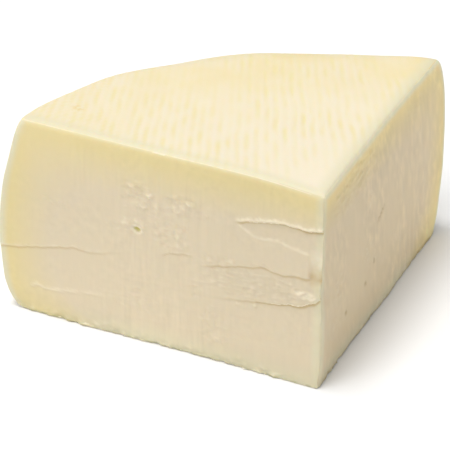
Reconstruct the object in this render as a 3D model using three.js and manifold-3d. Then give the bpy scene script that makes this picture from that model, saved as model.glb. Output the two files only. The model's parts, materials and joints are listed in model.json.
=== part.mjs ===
// A quarter of a wheel of pressed semi-soft cheese, lying on its flat underside.
//
// The wheel is turned as one solid: a flat underside, a heel that bulges where the young cheese
// sagged in its cloth, a rounded shoulder and a top that is not quite flat. A coarse prism then
// takes out a rough quarter, and two knife blocks trim its cut faces. The side of each block that
// meets the cheese carries the marks of the cut: the terraces that a dragging blade leaves, the
// flake it tore off beside the point, and the small eyes that it opened.
//
// Millimetres, +Z up. The wheel's axis is the upright edge where the two cuts meet, and the middle
// of the quarter looks along +Y. The origin is under the middle of the whole piece.
import * as THREE from "three";
import { mergeVertices } from "three/addons/utils/BufferGeometryUtils.js";
import Module from "manifold-3d";

// Driving dimensions
const WHEEL_RADIUS = 186; // at the fullest part of the heel
const WHEEL_HEIGHT = 115;
const QUARTER_ANGLE = THREE.MathUtils.degToRad(88); // cut a little short of a true quarter
const HALF_ANGLE = QUARTER_ANGLE / 2;
const AXIS_Y = -WHEEL_RADIUS / 2; // puts the origin under the middle of the piece

// Section of the wheel, from the middle of the underside round the heel to the middle of the top.
// Each curve is a cubic between two places, with a handle beside each.
const FOOT_RADIUS = 0.925 * WHEEL_RADIUS; // where the flat underside ends
const FOOT_TOP = { inset: 2, height: 21 }; // where the foot's curve meets the belly's
const FOOT_HANDLES = { out: 6, inset: 2.5, height: 7 };
const BELLY_HEIGHT = 0.4 * WHEEL_HEIGHT; // height of the fullest part
const BELLY_HANDLES = [
  { inset: 1, height: BELLY_HEIGHT - 12 },
  { inset: -1.5, height: BELLY_HEIGHT + 10 },
];
const CRISP_SHOULDER = {
  start: { inset: 5, height: 0.71 * WHEEL_HEIGHT }, // where it leaves the belly
  low: { inset: 8.5, height: 0.82 * WHEEL_HEIGHT },
  high: { out: 5, height: 0.965 * WHEEL_HEIGHT },
  radius: 0.911 * WHEEL_RADIUS, // where the top ends beside the left-hand cut
};
const SOFT_SHOULDER = {
  start: { inset: 3, height: 0.71 * WHEEL_HEIGHT },
  low: { inset: 6, height: 0.87 * WHEEL_HEIGHT },
  high: { out: 18, height: WHEEL_HEIGHT - 0.5 },
  radius: 0.806 * WHEEL_RADIUS, // where the top begins to fall round the rest of the heel
};
// Sines of the angles from +Y between which the crisp shoulder takes over towards each cut
const LEFT_CRISP = [-0.1, 0.64];
const RIGHT_CRISP = [0.45, 0.68];
const RIGHT_CRISPNESS = 0.5; // share of the crisp shoulder beside the right-hand cut
const TURN_STEPS = 120; // facets round the whole wheel
const HEEL_STEPS = 7; // facets up each of the heel's three curves
const TOP_RINGS = [0, 12, 24, 42, 62, 82, 102, 122, 140]; // radii of the rings across the top
const FOOT_RINGS = [60, 120]; // radii of the rings across the underside
const MERGE_DISTANCE = 1e-4; // corners nearer than this are one corner
const TINY = 1e-6;

// Unevenness of a wheel that was pressed in cloth
const RIM_SWELL = 1.1; // how far the heel wanders in and out
const RIM_FACETS = 15; // flats that the folded cloth left round the whole wheel
const FACET_ANGLE = -0.323; // where one corner between two flats stands
const RIM_HEIGHTS = [2, 20]; // the wander grows from the flat underside between these heights
const RIM_SHARES = [0.76, 0.85]; // and from the flat top between these shares of the radius
const TOP_CROWN = 0.9; // how far the top stands above its nominal height
const CROWN_WAVE = { share: 0.2, radius: 19, turns: 2 }; // how the crown comes and goes
const POINT_SAG = { depth: 2.2, reach: 22 }; // how far the top sinks at the point
// How much lower the far shoulder lies, right of the middle: between sines of the angle from +Y
const FAR_SAG = { depth: 1.6, begins: [-0.1, 0.45], ends: [0.5, 0.68], radii: [95, 165] };
const TOP_SHARES = [0.75, 0.98]; // shares of the height between which the top's wander grows

// Rough quarter
const ROUGH_SPARE = 20; // left on each cut for the knife blocks to take off
const ROUGH_WIDENING = 0.02; // radians that each side opens
const ROUGH_REACH = 2.2 * WHEEL_RADIUS;

// Knife blocks
const BLOCK_DEPTH = 60;
const BLOCK_REACH = 215; // from the axis out past the heel
const BLOCK_BEHIND = 25; // past the axis on the other side
const BLOCK_MARGIN = 10; // above and below the wheel
const LEFT_CELL = [3.6, 2.2]; // cells of the marked side: along the cut, up the cut
const RIGHT_CELL = [6.5, 4.5];
const DRAG_SLOPE = -0.19; // the marks climb towards the point, and the rows of cells follow them
const SLOPE_GROWS = [0, 45]; // heights between which the rows of cells take up the slope
const SLOPE_FADES = [80, 120]; // and between which they give it up

// Where the blade dragged the paste, it left a terrace. Seen along the cut, `from` and `to` are
// [distance from the axis, height] and `bow` lifts the middle of the line. The paste stands `lip`
// proud above the line and `drop` deep below it, and each dies out over its own reach. `fade` is
// the share of the line over which it grows from nothing at `from`.
const TERRACE_END = 0.12; // share of its line over which a terrace dies at `to`
const LEFT_TERRACES = [
  { from: [190, 35], to: [104, 53], bow: 1.8, lip: 0.6, above: 7, drop: 0.7, below: 9, fade: 0 },
  { from: [62, 57], to: [6, 63.5], bow: 2.5, lip: 0.9, above: 10, drop: 1.1, below: 7, fade: 0.3 },
  { from: [55, 39], to: [-4, 53], bow: -1.5, lip: 0.7, above: 5, drop: 1.3, below: 10, fade: 0.6 },
];
const RIGHT_TERRACES = [
  { from: [96, 108], to: [64, 84], bow: 0, lip: 0.5, above: 9, drop: 0.5, below: 6, fade: 0.4 },
];

// The flake torn off beside the point, between an upper lip and a lower one
const FLAKE = { tip: [50, 87], lipRise: 5.5, floorFall: 9, depth: 2.6, slope: 0.8 };
const FLAKE_LIP = { proud: 0.7, reach: 3 };
const FLAKE_SILL = { proud: 0.5, reach: 8 };

// Eyes: [distance from the axis, height, width, height across] of each small hole in a cut
const LEFT_EYES = [
  [105, 67, 5.5, 3.4],
  [117, 64.5, 3.6, 2.4],
];
const RIGHT_EYES = [[40, 24, 6, 3]];
const EYE_DEPTH = 1.6;

// A broad slow swell that keeps a cut from being a flat plane
const CUT_SWELL = { height: 0.35, length: 120, start: 1, tall: 37 };
const RIGHT_SWELL_SHIFT = 40; // the right-hand cut swells in other places

const manifold = await Module();
manifold.setup();

// Smooth step from 0 at a to 1 at b.
function rise(a, b, x) {
  return THREE.MathUtils.smoothstep((x - a) / (b - a), 0, 1);
}

// A three.js geometry as a manifold-3d solid.
function solidOf(geometry) {
  const bare = new THREE.BufferGeometry().setAttribute("position", geometry.getAttribute("position"));
  if (geometry.index) bare.setIndex(geometry.index);
  const merged = mergeVertices(bare, MERGE_DISTANCE);
  const corners = merged.index.array;
  const kept = [];
  for (let i = 0; i < corners.length; i += 3) {
    const [a, b, c] = corners.slice(i, i + 3);
    if (a !== b && b !== c && a !== c) kept.push(a, b, c); // a triangle at a pole closes to a line
  }
  const mesh = new manifold.Mesh({
    numProp: 3,
    vertProperties: new Float32Array(merged.getAttribute("position").array),
    triVerts: new Uint32Array(kept),
  });
  return new manifold.Manifold(mesh);
}

// A manifold-3d solid as a three.js geometry, flat-shaded.
function geometryOf(solid) {
  const mesh = solid.getMesh();
  const stride = mesh.numProp;
  const positions = new Float32Array(mesh.numVert * 3);
  for (let i = 0; i < mesh.numVert; i++) {
    positions.set(mesh.vertProperties.subarray(i * stride, i * stride + 3), i * 3);
  }
  const geometry = new THREE.BufferGeometry();
  geometry.setAttribute("position", new THREE.BufferAttribute(positions, 3));
  geometry.setIndex(new THREE.BufferAttribute(new Uint32Array(mesh.triVerts), 1));
  geometry.computeVertexNormals();
  return geometry;
}

// A place on the section, given by how far it lies inside the wheel's fullest radius.
function inside({ inset, height }) {
  return new THREE.Vector2(WHEEL_RADIUS - inset, height);
}

// The wheel's section as [radius, height] points: foot, heel, shoulder and top. The shoulder is
// one that kept its corner in the mould, or one that slumped.
function wheelSection({ start, low, high, radius }) {
  const foot = new THREE.CubicBezierCurve(
    new THREE.Vector2(FOOT_RADIUS, 0),
    new THREE.Vector2(FOOT_RADIUS + FOOT_HANDLES.out, 0),
    inside(FOOT_HANDLES),
    inside(FOOT_TOP),
  );
  const belly = new THREE.CubicBezierCurve(foot.v3, ...BELLY_HANDLES.map(inside), inside(start));
  const shoulder = new THREE.CubicBezierCurve(
    belly.v3,
    inside(low),
    new THREE.Vector2(radius + high.out, high.height),
    new THREE.Vector2(radius, WHEEL_HEIGHT),
  );
  const rings = (radii, height) => radii.map((r) => new THREE.Vector2(r, height));
  return [
    new THREE.Vector2(0, 0),
    ...rings(FOOT_RINGS, 0),
    ...foot.getPoints(HEEL_STEPS),
    ...belly.getPoints(HEEL_STEPS).slice(1),
    ...shoulder.getPoints(HEEL_STEPS).slice(1),
    ...rings([...TOP_RINGS].reverse(), WHEEL_HEIGHT),
  ];
}

// Share of the crisp section at an angle from +Y.
function crispness(angle) {
  const towardsLeft = rise(...LEFT_CRISP, -Math.sin(angle));
  const towardsRight = rise(...RIGHT_CRISP, Math.sin(angle));
  return towardsLeft + RIGHT_CRISPNESS * towardsRight;
}

// Height that the pressed top gains or loses at a distance from the axis and an angle from +Y.
function topUnevenness(radius, angle) {
  const wave = Math.sin(radius / CROWN_WAVE.radius + CROWN_WAVE.turns * angle);
  const crown = TOP_CROWN * (1 + CROWN_WAVE.share * wave);
  const point = POINT_SAG.depth * Math.exp(-((radius / POINT_SAG.reach) ** 2));
  const sideways = Math.sin(angle);
  const farSide = rise(...FAR_SAG.begins, sideways) * (1 - rise(...FAR_SAG.ends, sideways));
  return crown - point - FAR_SAG.depth * farSide * rise(...FAR_SAG.radii, radius);
}

// Distance that the heel stands out or in at an angle from +Y.
function rimUnevenness(angle, height) {
  return RIM_SWELL * Math.cos(RIM_FACETS * (angle - FACET_ANGLE)) * rise(...RIM_HEIGHTS, height);
}

// The whole wheel, about the Z axis.
function wheel() {
  const soft = wheelSection(SOFT_SHOULDER);
  const crisp = wheelSection(CRISP_SHOULDER);
  const turned = new THREE.LatheGeometry(soft, TURN_STEPS);
  turned.rotateX(Math.PI / 2);
  const at = turned.getAttribute("position");
  for (let i = 0; i < at.count; i++) {
    const angle = Math.atan2(at.getX(i), at.getY(i));
    const ring = i % soft.length;
    const here = soft[ring].clone().lerp(crisp[ring], crispness(angle));
    const radius = here.x;
    const out = rimUnevenness(angle, here.y) * rise(...RIM_SHARES, radius / WHEEL_RADIUS);
    const grow = radius > TINY ? (radius + out) / Math.hypot(at.getX(i), at.getY(i)) : 1;
    const lift = topUnevenness(radius, radius > TINY ? angle : 0);
    const height = here.y + lift * rise(...TOP_SHARES, here.y / WHEEL_HEIGHT);
    at.setXYZ(i, at.getX(i) * grow, at.getY(i) * grow, height);
  }
  return solidOf(turned);
}

// A coarse prism round the quarter, a little wider than the cuts.
function roughQuarter() {
  const wide = HALF_ANGLE + ROUGH_WIDENING;
  const behind = -ROUGH_SPARE / Math.sin(HALF_ANGLE);
  const sideways = ROUGH_REACH * Math.sin(wide);
  const far = behind + ROUGH_REACH * Math.cos(wide);
  const outline = new THREE.Shape([
    new THREE.Vector2(0, behind),
    new THREE.Vector2(sideways, far),
    new THREE.Vector2(-sideways, far),
  ]);
  const height = WHEEL_HEIGHT + 2 * BLOCK_MARGIN;
  const prism = new THREE.ExtrudeGeometry(outline, { depth: height, bevelEnabled: false });
  prism.translate(0, 0, -BLOCK_MARGIN);
  return solidOf(prism);
}

// Relief of one terrace: out of the cut is positive.
function terraceRelief(terrace, along, up) {
  const { from, to, bow, lip, above, drop, below, fade } = terrace;
  const t = (along - from[0]) / (to[0] - from[0]);
  if (t < 0 || t > 1) return 0;
  const line = THREE.MathUtils.lerp(from[1], to[1], t) + 4 * bow * t * (1 - t);
  const grown = fade > 0 ? rise(0, fade, t) : 1;
  const dying = rise(0, TERRACE_END, 1 - t);
  const off = up - line;
  const step = off >= 0 ? lip * Math.exp(-off / above) : -drop * Math.exp(off / below);
  return step * grown * dying;
}

// Relief of the torn flake: a hollow between two lips that part from a tip and run to the point.
function flakeRelief(along, up) {
  const t = 1 - along / FLAKE.tip[0];
  if (t < 0) return 0;
  const spread = Math.sqrt(Math.min(t, 1));
  const upper = FLAKE.tip[1] + FLAKE.lipRise * spread;
  const lower = FLAKE.tip[1] - FLAKE.floorFall * spread;
  if (up > upper) return FLAKE_LIP.proud * spread * Math.exp((upper - up) / FLAKE_LIP.reach);
  if (up < lower) return FLAKE_SILL.proud * spread * Math.exp((up - lower) / FLAKE_SILL.reach);
  const across = (upper - up) / Math.max(upper - lower, TINY);
  return -FLAKE.depth * spread * (1 - across) ** FLAKE.slope;
}

// Relief of the eyes in a cut.
function eyeRelief(eyes, along, up) {
  let depth = 0;
  for (const [r, z, width, height] of eyes) {
    const off = ((along - r) / (width / 2)) ** 2 + ((up - z) / (height / 2)) ** 2;
    depth -= EYE_DEPTH * Math.exp(-off);
  }
  return depth;
}

// The slow swell of a whole cut.
function swellRelief(along, up) {
  const { height, length, start, tall } = CUT_SWELL;
  return height * Math.sin((2 * Math.PI * along) / length + start) * Math.cos(up / tall);
}

function leftRelief(along, up) {
  let relief = swellRelief(along, up) + flakeRelief(along, up) + eyeRelief(LEFT_EYES, along, up);
  for (const terrace of LEFT_TERRACES) relief += terraceRelief(terrace, along, up);
  return relief;
}

function rightRelief(along, up) {
  let relief = swellRelief(along + RIGHT_SWELL_SHIFT, up) + eyeRelief(RIGHT_EYES, along, up);
  for (const terrace of RIGHT_TERRACES) relief += terraceRelief(terrace, along, up);
  return relief;
}

// A block that cuts one face. `side` is -1 for the left cut and 1 for the right one.
function knifeBlock(side, relief, cell) {
  const width = BLOCK_REACH + BLOCK_BEHIND;
  const height = WHEEL_HEIGHT + 4 * BLOCK_MARGIN;
  const columns = Math.round(width / cell[0]);
  const rows = Math.round(height / cell[1]);
  const block = new THREE.BoxGeometry(width, height, BLOCK_DEPTH, columns, rows, 1);
  const at = block.getAttribute("position");
  const middle = (side * (BLOCK_REACH - BLOCK_BEHIND)) / 2;
  for (let i = 0; i < at.count; i++) {
    const sideways = at.getX(i) + middle;
    const along = side * sideways;
    const row = at.getY(i) + WHEEL_HEIGHT / 2;
    const sloped = rise(...SLOPE_GROWS, row) * (1 - rise(...SLOPE_FADES, row));
    const up = row + DRAG_SLOPE * (along - WHEEL_RADIUS / 2) * sloped;
    const marked = at.getZ(i) < 0;
    const out = marked ? relief(along, up) : BLOCK_DEPTH;
    at.setXYZ(i, sideways, up, out);
  }
  const outwards = new THREE.Vector3(side * Math.cos(HALF_ANGLE), -Math.sin(HALF_ANGLE), 0);
  const upwards = new THREE.Vector3(0, 0, 1);
  const sidewards = new THREE.Vector3().crossVectors(upwards, outwards);
  block.applyMatrix4(new THREE.Matrix4().makeBasis(sidewards, upwards, outwards));
  return solidOf(block);
}

// The piece: the wheel, roughly quartered and then trimmed by both blocks.
function cheeseQuarter() {
  const rough = wheel().intersect(roughQuarter());
  const trimmedLeft = rough.subtract(knifeBlock(-1, leftRelief, LEFT_CELL));
  const trimmed = trimmedLeft.subtract(knifeBlock(1, rightRelief, RIGHT_CELL));
  const pieces = trimmed.decompose();
  pieces.sort((a, b) => b.volume() - a.volume());
  return geometryOf(pieces[0]);
}

const cheese = new THREE.Mesh(
  cheeseQuarter(),
  new THREE.MeshStandardMaterial({ color: 0xeadcb6, roughness: 0.55, metalness: 0 }),
);
cheese.name = "cheese_quarter";
cheese.position.set(0, AXIS_Y, 0);

const piece = new THREE.Group();
piece.add(cheese);

export default piece;
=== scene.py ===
# %% [markdown]
# A quarter of a pressed semi-soft cheese, seen on a pale table.
#
# The cheese is one solid, so it is modelled as one mesh. Its underside, heel and top are rind that
# was pressed in cloth. Its two cut faces are bare paste, dragged and torn a little by the knife.
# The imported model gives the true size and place, and this script gives the piece its fine shape
# and its finish.

# %% Load the frame
import json
import math

import bpy
from mathutils import Matrix, Vector, noise

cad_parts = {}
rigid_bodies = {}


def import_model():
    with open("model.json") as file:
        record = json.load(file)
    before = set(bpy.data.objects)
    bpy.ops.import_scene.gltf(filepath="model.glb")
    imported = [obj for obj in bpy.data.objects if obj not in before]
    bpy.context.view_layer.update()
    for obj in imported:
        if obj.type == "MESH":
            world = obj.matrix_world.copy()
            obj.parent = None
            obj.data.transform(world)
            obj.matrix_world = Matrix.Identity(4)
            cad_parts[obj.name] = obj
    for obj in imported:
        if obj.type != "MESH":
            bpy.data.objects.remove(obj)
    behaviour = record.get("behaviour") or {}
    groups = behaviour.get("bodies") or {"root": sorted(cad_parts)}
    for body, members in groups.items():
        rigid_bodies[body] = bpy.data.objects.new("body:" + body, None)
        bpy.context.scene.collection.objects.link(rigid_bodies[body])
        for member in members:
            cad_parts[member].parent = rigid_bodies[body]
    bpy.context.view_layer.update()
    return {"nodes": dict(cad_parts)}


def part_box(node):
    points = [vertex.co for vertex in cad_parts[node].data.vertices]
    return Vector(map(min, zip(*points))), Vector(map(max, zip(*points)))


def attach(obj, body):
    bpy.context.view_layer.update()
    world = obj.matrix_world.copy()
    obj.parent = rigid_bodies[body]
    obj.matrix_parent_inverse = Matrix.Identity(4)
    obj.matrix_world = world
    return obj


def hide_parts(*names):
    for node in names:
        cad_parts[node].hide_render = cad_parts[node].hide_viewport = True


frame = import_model()
low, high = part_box("cheese_quarter")
print("nodes:", list(frame["nodes"]))
print("solid, mm:", [round(1000 * (b - a), 1) for a, b in zip(low, high)])

# %% [markdown]
# Sizes come first. A wheel like this one stands 115 mm tall and measures 186 mm from its axis to
# the fullest part of its heel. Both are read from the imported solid, whose origin lies midway
# between the point and the heel, so the axis is half a radius behind it. Shapes are worked out in
# millimetres and turned to metres when a vertex is placed.

# %% Sizes in millimetres
MM = 0.001
TOP_CROWN = 1.1  # the top stands this much above its nominal height
WHEEL_RADIUS = round(1000 * (high[1] - low[1]))
WHEEL_HEIGHT = round(1000 * high[2] - TOP_CROWN)
AXIS_Y = -WHEEL_RADIUS / 2
HALF_ANGLE = math.radians(44)  # each cut lies this far from the middle of the quarter
print("wheel radius and height, mm:", WHEEL_RADIUS, WHEEL_HEIGHT)

# %% [markdown]
# The camera comes next, because every later choice is judged through it. The picture was taken
# with a long lens from a little above the table, so the piece shows hardly any perspective. A
# camera is easiest to place by its direction: it circles the wheel's axis, rises, rolls by a
# degree and steps back, and it aims slightly to one side of the axis to frame the piece.

# %% Camera
CAMERA_TURN = math.radians(-21.0)
CAMERA_RISE = math.radians(30.2)
CAMERA_ROLL = math.radians(1.1)
CAMERA_DISTANCE = 1.494
AIM_ACROSS, AIM_UP = -0.0492, 0.0835  # from the foot of the axis to the middle of the picture
LENS_MM = 231.6
SENSOR_MM = 36

across = Vector((math.cos(CAMERA_TURN), math.sin(CAMERA_TURN), 0))
back = Vector((
    math.sin(CAMERA_TURN) * math.cos(CAMERA_RISE),
    -math.cos(CAMERA_TURN) * math.cos(CAMERA_RISE),
    math.sin(CAMERA_RISE),
))
up = back.cross(across)
axis_foot = Vector((0, AXIS_Y * MM, 0))
viewpoint = axis_foot + across * AIM_ACROSS + up * AIM_UP + back * CAMERA_DISTANCE
turned = Matrix((across, up, back)).transposed() @ Matrix.Rotation(CAMERA_ROLL, 3, "Z")

bpy.ops.object.camera_add(location=viewpoint, rotation=turned.to_euler())
camera = bpy.context.object
camera.name = "view"
camera.data.lens = LENS_MM
camera.data.sensor_width = SENSOR_MM
bpy.context.scene.camera = camera
print("camera at, m:", [round(v, 3) for v in camera.location])

# %% [markdown]
# Every finish is built from nodes, so three small helpers come first. One turns a colour as a
# painter writes it into the linear light that a renderer wants, one adds a node with its settings
# and links, and one starts an empty material.

# %% Helpers for the finishes
def linear(hex_colour):
    """An sRGB colour such as "E6D6B4" as linear red, green, blue and alpha."""
    parts = [int(hex_colour[i:i + 2], 16) / 255 for i in (0, 2, 4)]
    return [p / 12.92 if p <= 0.04045 else ((p + 0.055) / 1.055) ** 2.4 for p in parts] + [1]


def add(tree, kind, settings=None, **sockets):
    """Adds a node, sets its properties, and gives each named input a value or another's output.

    An input is named with underscores for spaces, or by its number after an i.
    """
    new = tree.nodes.new(kind)
    for name, value in (settings or {}).items():
        setattr(new, name, value)
    for name, value in sockets.items():
        key = int(name[1:]) if name[1:].isdigit() else name.replace("_", " ")
        if isinstance(value, bpy.types.NodeSocket):
            tree.links.new(value, new.inputs[key])
        else:
            new.inputs[key].default_value = value
    return new


def new_material(name):
    """An empty material and its node tree."""
    material = bpy.data.materials.new(name)
    material.use_nodes = True
    material.node_tree.nodes.clear()
    return material, material.node_tree


print("middle grey as linear light:", round(linear("808080")[0], 3))

# %% [markdown]
# The table is a white painted board, so large that its edge never shows. White paint scatters
# nearly all light and has no gloss here. The board lies a hair under the cheese so that no two
# faces coincide.

# %% Table
TABLE_SIZE = 6.0
TABLE_GAP = 0.0004
TABLE_WHITE = "F8F8F8"

bpy.ops.object.select_all(action="DESELECT")
bpy.ops.mesh.primitive_grid_add(x_subdivisions=2, y_subdivisions=2, size=TABLE_SIZE)
table = bpy.context.object
table.name = "table"
bpy.ops.transform.translate(value=(0, 0, -TABLE_GAP))
white_board, tree = new_material("matt_white_painted_board")
paint = add(
    tree, "ShaderNodeBsdfPrincipled",
    Base_Color=linear(TABLE_WHITE), Roughness=0.9, Specular_IOR_Level=0.0,
)
add(tree, "ShaderNodeOutputMaterial", Surface=paint.outputs[0])
table.data.materials.append(white_board)
print("table, m:", [round(v, 2) for v in table.dimensions])

# %% [markdown]
# The light is a plain white studio with two soft lamps: one almost overhead, which makes the top
# the brightest side, and one in front on the left, so that the left-hand cut is the lighter one and
# the shadow falls to the right. A lamp of the sun kind with a wide angle does the work of a large
# softbox far away.

# %% Lamps
OVERHEAD = dict(turn=150, rise=80, strength=1.32, width=20)  # degrees, and the lamp's strength
FRONT_LEFT = dict(turn=210, rise=55, strength=1.36, width=40)


def soft_lamp(name, turn, rise, strength, width):
    """A wide far lamp, turn degrees round from +X towards +Y and rise degrees up."""
    turn, rise = math.radians(turn), math.radians(rise)
    towards = Vector((math.cos(rise) * math.cos(turn), math.cos(rise) * math.sin(turn), math.sin(rise)))
    turned = towards.to_track_quat("Z", "Y").to_euler()
    bpy.ops.object.light_add(type="SUN", location=towards, rotation=turned)
    lamp = bpy.context.object
    lamp.name = name
    lamp.data.energy = strength
    lamp.data.angle = math.radians(width)
    print(name, "shines from", [round(v, 2) for v in towards])


soft_lamp("overhead", **OVERHEAD)
soft_lamp("front_left", **FRONT_LEFT)

# %% [markdown]
# A white room closes the studio. It fills the shadows with weaker light than it shows itself.

# %% Room
ROOM_FILL = 0.40

room = bpy.data.worlds.new("white_room")
bpy.context.scene.world = room
room.use_nodes = True
tree = room.node_tree
tree.nodes.clear()
rays = add(tree, "ShaderNodeLightPath")
seen = add(tree, "ShaderNodeMapRange", To_Min=ROOM_FILL, To_Max=1.0, Value=rays.outputs["Is Camera Ray"])
walls = add(tree, "ShaderNodeBackground", Color=(1, 1, 1, 1), Strength=seen.outputs[0])
add(tree, "ShaderNodeOutputWorld", Surface=walls.outputs[0])
bpy.context.scene.view_settings.view_transform = "Standard"
print("room fill:", ROOM_FILL)

# %% [markdown]
# A quarter wheel is a square block whose two far sides were rounded into the heel. It starts as a
# cube one unit wide with an upright edge on the axis, so a place in it is a share of the way out
# and up. Cut into even steps, one direction at a time, it is a lattice of nearly square cells with
# no crowded pole at the point. The cells of the left-hand cut are halved again, because the knife
# left its finest marks there.

# %% Block
COLUMNS = 140  # steps from the axis to the heel
ROWS = 80  # steps from the underside to the top
MARKED_SHARE = 0.86  # the left-hand cut is finer up to this share of the height
EDGE = 1e-6  # a place this near to a side counts as on it


def select_only(kind, items, chosen):
    """Selects in edit mode the vertices, edges or faces that chosen says yes to."""
    bpy.ops.object.mode_set(mode="EDIT")
    bpy.ops.mesh.select_mode(type=kind)
    bpy.ops.mesh.select_all(action="DESELECT")
    bpy.ops.object.mode_set(mode="OBJECT")
    for item in items:
        item.select = chosen(item)
    bpy.ops.object.mode_set(mode="EDIT")


def runs_along(edge, axis):
    """Whether an edge of the block runs along one axis."""
    a, b = (cheese.data.vertices[i].co for i in edge.vertices)
    return abs(a[axis] - b[axis]) > 0.99 * (a - b).length


bpy.ops.object.select_all(action="DESELECT")
bpy.ops.mesh.primitive_cube_add(size=1, location=(0.5, 0.5, 0.5))
cheese = bpy.context.object
cheese.name = "cut_cheese"
bpy.ops.object.transform_apply(location=True, rotation=True, scale=True)
for axis, steps in ((0, COLUMNS), (1, COLUMNS), (2, ROWS)):
    select_only("EDGE", cheese.data.edges, lambda edge: runs_along(edge, axis))
    bpy.ops.mesh.subdivide(number_cuts=steps - 1)
select_only("FACE", cheese.data.polygons, lambda f: f.center.x < EDGE and f.center.z < MARKED_SHARE)
bpy.ops.mesh.subdivide(number_cuts=1)
bpy.ops.object.mode_set(mode="OBJECT")
print("lattice vertices:", len(cheese.data.vertices))

# %% [markdown]
# The section of the wheel is three curves: a tight foot, a belly that sagged outwards in the
# cloth, and a shoulder. The shoulder kept a crisp corner near the left-hand cut and about half of
# it near the right-hand one, and slumped in between, so there are two sections.

# %% Two sections of the wheel
FOOT_RADIUS = 0.925 * WHEEL_RADIUS
BELLY_HEIGHT = 0.4 * WHEEL_HEIGHT
BELLY_TOP = 0.71 * WHEEL_HEIGHT
CRISP_TOP = 0.911 * WHEEL_RADIUS  # where the top ends beside the left-hand cut
SOFT_TOP = 0.806 * WHEEL_RADIUS  # where the top begins to fall round the rest of the heel


def inside(inset, height):
    """A place on the section, given by how far it lies inside the fullest radius."""
    return WHEEL_RADIUS - inset, height


def heel(belly_top, low_handle, high_handle, top_edge):
    """The foot, the belly and the shoulder of one section, each as a curve's four points."""
    foot = [(FOOT_RADIUS, 0), (FOOT_RADIUS + 6, 0), inside(2.5, 7), inside(2, 21)]
    belly = [foot[3], inside(1, BELLY_HEIGHT - 12), inside(-1.5, BELLY_HEIGHT + 10), belly_top]
    return foot, belly, [belly_top, low_handle, high_handle, top_edge]


CRISP = heel(
    inside(5, BELLY_TOP), inside(8.5, 0.82 * WHEEL_HEIGHT),
    (CRISP_TOP + 5, 0.965 * WHEEL_HEIGHT), (CRISP_TOP, WHEEL_HEIGHT),
)
SOFT = heel(
    inside(3, BELLY_TOP), inside(6, 0.87 * WHEEL_HEIGHT),
    (SOFT_TOP + 18, WHEEL_HEIGHT - 0.5), (SOFT_TOP, WHEEL_HEIGHT),
)
print("crisp and soft top end at, mm:", round(CRISP_TOP), round(SOFT_TOP))

# %% [markdown]
# The two sections are blended by the angle round the wheel, with a smooth step. Each of the three
# curves is a cubic with two handles, and takes its share of the rows, so that the cells stay even.

# %% Section at any angle
RIGHT_CRISPNESS = 0.5  # share of the crisp shoulder beside the right-hand cut
FOOT_SHARE, BELLY_SHARE = 0.2, 0.65  # shares of the rows that end the foot and the belly


def rise(a, b, x):
    """Smooth step from 0 at a to 1 at b."""
    t = min(max((x - a) / (b - a), 0), 1)
    return t * t * (3 - 2 * t)


def mix(a, b, t):
    return a + (b - a) * t


def bezier(points, t):
    """Point at t on a cubic curve with two end points and two handles."""
    weights = ((1 - t) ** 3, 3 * (1 - t) ** 2 * t, 3 * (1 - t) * t ** 2, t ** 3)
    return [sum(w * p[i] for w, p in zip(weights, points)) for i in (0, 1)]


def crispness(angle):
    """Share of the crisp section at an angle from the middle of the quarter."""
    towards_left = rise(-0.1, 0.64, -math.sin(angle))
    return towards_left + RIGHT_CRISPNESS * rise(0.45, 0.68, math.sin(angle))


def section(share, angle):
    """Radius and height on the heel, for a share of the way from the underside to the top."""
    if share < FOOT_SHARE:
        curve, t = 0, share / FOOT_SHARE
    elif share < BELLY_SHARE:
        curve, t = 1, (share - FOOT_SHARE) / (BELLY_SHARE - FOOT_SHARE)
    else:
        curve, t = 2, (share - BELLY_SHARE) / (1 - BELLY_SHARE)
    blend = crispness(angle)
    return [mix(s, c, blend) for s, c in zip(bezier(SOFT[curve], t), bezier(CRISP[curve], t))]


print("fullest radius, mm:", round(max(section(i / 50, 0)[0] for i in range(51)), 1))

# %% [markdown]
# Each lattice vertex is laid onto the plain quarter. The larger of its two level coordinates says
# how far it lies from the axis, and their ratio says how far round. Rows run straight from the
# axis to the heel, and climb towards the point as the marks of the knife do.

# %% Lattice to quarter
NEAR_POINT = 0.75  # steps near the axis are this much shorter than even ones
POINT_ROWS = [(0, 0), (0.05, 4), (0.24, 42), (0.36, 56), (0.67, 90), (1, WHEEL_HEIGHT)]  # share, height


def along_line(points, x):
    """Height of a line through points at x, held level past its ends."""
    if x <= points[0][0]:
        return points[0][1]
    for (x0, y0), (x1, y1) in zip(points, points[1:]):
        if x <= x1:
            return mix(y0, y1, (x - x0) / (x1 - x0))
    return points[-1][1]


def lay(a, b, share):
    """Angle, radius, height and reach of the lattice point a, b, share, each from 0 to 1."""
    out = max(a, b)
    turn = 0.5 if out < EDGE else (b / (2 * a) if b <= a else 1 - a / (2 * b))
    angle = mix(HALF_ANGLE, -HALF_ANGLE, turn)
    reach = mix(NEAR_POINT * out, out, out)
    radius, height = section(share, angle)
    return angle, reach * radius, mix(along_line(POINT_ROWS, share), height, reach), reach


print("heel at mid-height:", [round(v, 2) for v in lay(1, 1, 0.4)])

# %% [markdown]
# The cloth's coarse threads left shallow grooves in the top. They run away from the left-hand cut
# and straighten towards the right. A groove lies at a distance across the weave, which noise bends,
# breaks into dashes and thins out.

# %% Weave of the cloth
WEAVE_PITCH = 5.0
WEAVE_DEPTH = 0.18
WEAVE_SLANT = 0.40  # sideways for each millimetre away from the point, at the middle of the top
WEAVE_FAN = 0.0014  # share by which the grooves draw together for each millimetre
WEAVE_MIDDLE = 100  # distance from the axis at which the pitch and the slant are measured


def wander(x, y, scale, seed=0.0):
    """Smooth noise from about -1 to 1, with bumps of the given size in millimetres."""
    return noise.noise(Vector((x / scale, y / scale, seed)))


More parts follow.
